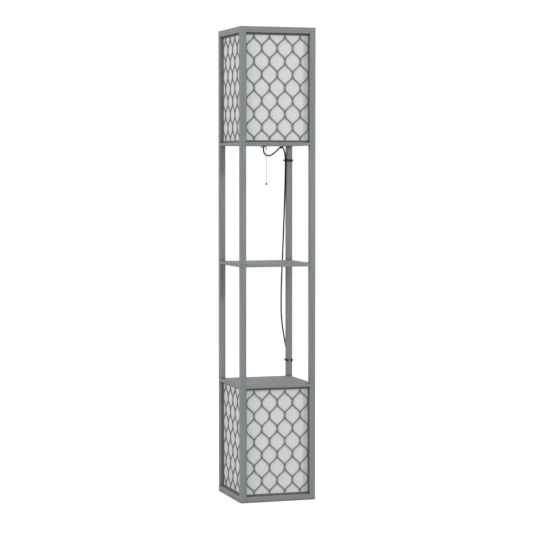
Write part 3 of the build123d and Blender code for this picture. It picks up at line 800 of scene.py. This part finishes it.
bulb = {
    "globeRadius": 0.030,
    "height": 0.105,
    "neckRadius": 0.0136,
    "globeEnd": 89.5,  # degrees up the globe, where a small flat closes it
    "globeSteps": 26,
    "glassSteps": 64,
    "capRadius": 0.013,
    "capHeight": 0.026,
    "capOverlap": 0.0004,  # how far the cap reaches past the glass's foot
    "contact": (0.0008, 0),  # radius and height
    "footEdge": (0.0042, 0.0006),
    "threadFoot": 0.00325,
    "threadPitch": 0.0036,
    "threadDepth": 0.0007,
    "threadFade": (0.003, 0.004),  # at its lower and its upper end
    "capSteps": 48,
    "capRows": 64,
}


def bulbGlass(name, foot):
    # the glass from the cap's rim, along a cone that touches the globe, and over the top
    globe = bulb["height"] - bulb["globeRadius"]
    rise = globe - bulb["capHeight"]
    reach = math.hypot(bulb["neckRadius"], rise)
    touch = math.atan2(-rise, bulb["neckRadius"]) + math.acos(bulb["globeRadius"] / reach)
    profile = [(bulb["neckRadius"], bulb["capHeight"])]
    profile += arcPoints(
        (0, globe), bulb["globeRadius"], math.degrees(touch), bulb["globeEnd"], bulb["globeSteps"]
    )
    return lathePiece(name, profile, foot, bulb["glassSteps"])


def bulbCap(name, foot):
    # a metal cap with a rolled thread over a cone that ends in the contact
    steps = bulb["capSteps"]
    top = bulb["capHeight"] + bulb["capOverlap"]
    low = bulb["threadFoot"]
    lowFade, topFade = bulb["threadFade"]
    rings = [roundRing(foot, *bulb[key], steps) for key in ("contact", "footEdge")]
    for row in range(bulb["capRows"] + 1):
        height = low + (top - low) * row / bulb["capRows"]
        fade = max(min(1, (height - low) / lowFade, (top - height) / topFade), 0)
        ring = []
        for turn in turnsOf(steps):
            wave = 0.5 - 0.5 * math.cos(2 * math.pi * height / bulb["threadPitch"] - turn)
            radius = bulb["capRadius"] - bulb["threadDepth"] * wave * fade
            offset = Vector((radius * math.cos(turn), radius * math.sin(turn), height))
            ring.append(foot + offset)
        rings.append(ring)
    return loftPiece(name, rings)


for boxName in ("upper", "lower"):
    cadName = f"{boxName}_bulb"
    low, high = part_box(cadName)
    foot = middleAt(low, high, low.z)
    glass = bulbGlass(f"{boxName}BulbGlass", foot)
    finishPiece(glass, "frostedGlass")
    cap = bulbCap(f"{boxName}BulbCap", foot)
    finishPiece(cap, "zincSteel")
    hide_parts(cadName)
print("bulbs made")

chain = {
    "beads": 34,
    "pitch": 0.00326,
    "beadRadius": 0.0012,
    "beadSegments": 16,
    "beadRings": 10,
    "wireRadius": 0.0004,
    "wireSides": 8,
    "sharpAngle": 60,
}


def chainTree():
    # a row of beads down a thin wire
    kinds = {
        "Bead Count": "Int",
        "Pitch": "Float",
        "Bead Radius": "Float",
        "Wire Radius": "Float",
        "Top": "Vector",
    }
    tree, given = startTree("ballChain", kinds)
    down = numberMath(tree, "MULTIPLY", given["Pitch"], -1)
    step = result(tree, "ShaderNodeCombineXYZ", {"Z": down})
    row = rowOfPoints(tree, given["Top"], step, given["Bead Count"])
    inputs = {
        "Segments": chain["beadSegments"],
        "Rings": chain["beadRings"],
        "Radius": given["Bead Radius"],
    }
    beads = placeCopies(tree, row, result(tree, "GeometryNodeMeshUVSphere", inputs))
    whole = numberMath(tree, "MULTIPLY", down, given["Bead Count"])
    drop = result(tree, "ShaderNodeCombineXYZ", {"Z": whole})
    wire = roundRod(tree, given["Top"], drop, given["Wire Radius"], chain["wireSides"])
    return endTree(tree, given, joinParts(tree, [beads, wire]))


low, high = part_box("pull_chain")
chainValues = {
    "Bead Count": chain["beads"],
    "Pitch": chain["pitch"],
    "Bead Radius": chain["beadRadius"],
    "Wire Radius": chain["wireRadius"],
    "Top": middleAt(low, high, high.z),
}
ballChain = growPiece("ballChain", chainTree(), chainValues, "nickel")
smoothMesh(ballChain.data, chain["sharpAngle"])
finishPiece(ballChain, "nickel", "chain")
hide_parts("pull_chain")

# radius and height from the knob's top
knobProfile = [
    (0.0004, 0),
    (0.0012, -0.0001),
    (0.0014, -0.0006),
    (0.0018, -0.0016),
    (0.0026, -0.0026),
    (0.0031, -0.0036),
    (0.0033, -0.0046),
    (0.0033, -0.0059),
    (0.0030, -0.0068),
    (0.0023, -0.0074),
    (0.0004, -0.0075),
]
low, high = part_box("chain_knob")
knob = lathePiece("chainKnob", knobProfile, middleAt(low, high, high.z), steps=40)
finishPiece(knob, "knobPlastic", "chain")
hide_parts("chain_knob")
print("chain made")

plug = {
    "width": 0.022,
    "depth": 0.019,
    "bodyLength": 0.024,
    "bodySteps": 48,
    "reliefLength": 0.022,
    "reliefTip": 0.0028,
    "reliefFoot": 0.0048,
    "reliefSides": 32,
    "ribs": 6,
    "ribShare": 0.62,  # a rib's width as a share of the step from rib to rib
    "ribRound": 0.0003,
    "sharpAngle": 50,
    "bladeLength": 0.017,
    "bladeWidth": 0.0063,
    "bladeThickness": 0.0015,
    "bladeSpacing": 0.0127,
    "bladeRound": 0.0002,
    "bladeTip": (0.002, 0.0014),  # what its corners lose along it and across it
    "holeFromTip": 0.0045,
    "holeRadius": 0.0015,
    "holeSteps": 16,
}


def plugRing(along, halfWidth, halfDepth, power):
    # a rounded section square to the plug's axis, which runs towards -X
    ring = []
    for turn in turnsOf(plug["bodySteps"]):
        cosine = math.cos(turn)
        sine = math.sin(turn)
        y = math.copysign(abs(cosine) ** (2 / power), cosine) * halfWidth
        z = math.copysign(abs(sine) ** (2 / power), sine) * halfDepth
        ring.append(cordEnd + Vector((-along, y, z)))
    return ring


def plugBody():
    halfWidth = plug["width"] / 2
    halfDepth = plug["depth"] / 2
    start = plug["reliefLength"]
    end = start + plug["bodyLength"]
    # distance along the plug, share of the full width, share of the full depth, squareness
    sections = [
        (start - 0.0004, 0.44, 0.46, 2.2),
        (start + 0.0006, 0.60, 0.62, 2.6),
        (start + 0.0020, 0.78, 0.80, 3.0),
        (start + 0.0045, 0.90, 0.90, 3.4),
        (start + 0.0085, 0.93, 0.90, 3.8),
        (start + 0.0125, 0.90, 0.88, 4.0),
        (start + 0.0165, 0.93, 0.92, 4.2),
        (end - 0.0035, 0.99, 0.99, 4.4),
        (end - 0.0012, 1.00, 1.00, 4.6),
        (end - 0.0003, 0.985, 0.98, 4.6),
        (end, 0.95, 0.94, 4.6),
    ]
    rings = []
    for along, widthShare, depthShare, power in sections:
        rings.append(plugRing(along, halfWidth * widthShare, halfDepth * depthShare, power))
    return loftPiece("plugBody", rings)


def reliefTree():
    # a tapered sleeve of ribs with a thin core
    kinds = {
        "Rib Count": "Int",
        "Length": "Float",
        "Tip Radius": "Float",
        "Foot Radius": "Float",
        "Start": "Vector",
    }
    tree, given = startTree("reliefRibs", kinds)
    back = numberMath(tree, "MULTIPLY", given["Length"], -1)
    pitch = numberMath(tree, "DIVIDE", back, given["Rib Count"])
    step = result(tree, "ShaderNodeCombineXYZ", {"X": pitch})
    row = rowOfPoints(tree, given["Start"], step, given["Rib Count"])
    width = numberMath(tree, "MULTIPLY", pitch, -plug["ribShare"])
    inputs = {"Vertices": plug["reliefSides"], "Radius": 1, "Depth": width}
    rib = result(tree, "GeometryNodeMeshCylinder", inputs)
    index = result(tree, "GeometryNodeInputIndex")
    share = numberMath(tree, "DIVIDE", index, given["Rib Count"])
    radius = spread(tree, share, (0, 1), (given["Tip Radius"], given["Foot Radius"]))
    scale = result(tree, "ShaderNodeCombineXYZ", {"X": radius, "Y": radius, "Z": 1})
    ribs = placeCopies(tree, row, rib, Rotation=(0, math.radians(90), 0), Scale=scale)
    reach = result(tree, "ShaderNodeCombineXYZ", {"X": back})
    core = roundRod(tree, given["Start"], reach, given["Tip Radius"], plug["reliefSides"])
    return endTree(tree, given, joinParts(tree, [ribs, core]))


def plugBlade(name, side):
    # a flat blade with a cut tip and its hole
    curve = bpy.data.curves.new(name, "CURVE")
    curve.dimensions = "2D"
    curve.fill_mode = "BOTH"
    curve.extrude = plug["bladeThickness"] / 2 - plug["bladeRound"]
    curve.bevel_depth = plug["bladeRound"]
    curve.offset = -plug["bladeRound"]
    half = plug["bladeWidth"] / 2
    long = plug["bladeLength"]
    tipLong, tipWide = plug["bladeTip"]
    lower = [(0, -half), (long - tipLong, -half), (long, -half + tipWide)]
    addOutline(curve, lower + [(x, -y) for x, y in reversed(lower)])
    lastHoleAngle = 360 - 360 / plug["holeSteps"]
    holeCentre = (long - plug["holeFromTip"], 0)
    hole = arcPoints(holeCentre, plug["holeRadius"], 0, lastHoleAngle, plug["holeSteps"] - 1)
    addOutline(curve, hole)
    flat = newPiece(name, curve)
    mesh = evaluatedMesh(flat)
    bpy.data.objects.remove(flat)
    along = plug["reliefLength"] + plug["bodyLength"]
    foot = cordEnd + Vector((-along, side * plug["bladeSpacing"] / 2, 0))
    # the blade's length runs towards -X, its width up and its thickness along Y
    mesh.transform(Matrix(((-1, 0, 0, foot.x), (0, 0, 1, foot.y), (0, 1, 0, foot.z), (0, 0, 0, 1))))
    return newPiece(name, mesh)


plugShell = plugBody()
finishPiece(plugShell, "blackPlastic")
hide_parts("plug")
reliefValues = {
    "Rib Count": plug["ribs"],
    "Length": plug["reliefLength"],
    "Tip Radius": plug["reliefTip"],
    "Foot Radius": plug["reliefFoot"],
    "Start": cordEnd,
}
plugRelief = growPiece("plugRelief", reliefTree(), reliefValues, "blackPlastic")
roundEdges(plugRelief, plug["ribRound"])
smoothMesh(plugRelief.data, plug["sharpAngle"])
finishPiece(plugRelief, "blackPlastic")
for bladeName, side in (("plugBladeNear", -1), ("plugBladeFar", 1)):
    blade = plugBlade(bladeName, side)
    smoothMesh(blade.data)
    finishPiece(blade, "nickel")
print("plug made")

finishPiece(cord, "cordJacket")
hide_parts("cord_run", "cord_coil")

studio = {
    "white": (1, 1, 1, 1),
    "floorSize": 40.0,
    "floorColor": (0.6, 0.6, 0.6, 1),
    "floorRoughness": 0.9,
    "floorSpecular": 0.1,
    "floorLift": 0.6,  # added where the camera or gloss sees the floor, so that it looks white
    "sky": 0.64,  # the sky's light; where it is seen it is white
    "aim": (0, 0, 0.8),
    "keyLight": {"place": (5.0, -3.1, 3.1), "size": 0.9, "power": 175.0},
    "fillLight": {"place": (-5.2, -2.0, 3.0), "size": 3.4, "power": 128.0},
}


def seenRay(tree):
    # 1 on rays from the camera and on those that gloss or glass sends on, otherwise 0
    paths = node(tree, "ShaderNodeLightPath")
    seen = paths.outputs["Is Camera Ray"]
    for other in ("Is Glossy Ray", "Is Transmission Ray"):
        seen = numberMath(tree, "MAXIMUM", seen, paths.outputs[other])
    return seen


def makeFloor():
    mesh = bpy.data.meshes.new("floor")
    shell = bmesh.new()
    bmesh.ops.create_grid(shell, x_segments=1, y_segments=1, size=studio["floorSize"] / 2)
    shell.to_mesh(mesh)
    shell.free()
    floor = newPiece("floor", mesh)
    material, tree, shader = startMaterial(
        "paleFloor",
        studio["floorColor"],
        studio["floorRoughness"],
        specular=studio["floorSpecular"],
    )
    lift = numberMath(tree, "MULTIPLY", seenRay(tree), studio["floorLift"])
    setInputs(tree, shader, {"Emission Color": studio["white"], "Emission Strength": lift})
    mesh.materials.append(material)


def makeSky():
    world = bpy.data.worlds.new("studioSky")
    bpy.context.scene.world = world
    world.use_nodes = True
    tree = world.node_tree
    strength = spread(tree, seenRay(tree), (0, 1), (studio["sky"], 1))
    inputs = {"Color": studio["white"], "Strength": strength}
    setInputs(tree, tree.nodes["Background"], inputs)


def addSoftLight(name):
    facts = studio[name]
    light = bpy.data.lights.new(name, "AREA")
    light.shape = "DISK"
    light.size = facts["size"]
    light.energy = facts["power"]
    lamp = newPiece(name, light)
    lamp.location = facts["place"]
    beam = Vector(studio["aim"]) - Vector(facts["place"])
    lamp.rotation_euler = beam.to_track_quat("-Z", "Y").to_euler()


makeFloor()
makeSky()
addSoftLight("keyLight")
addSoftLight("fillLight")
bpy.context.scene.view_settings.view_transform = "Standard"
print("studio lit")
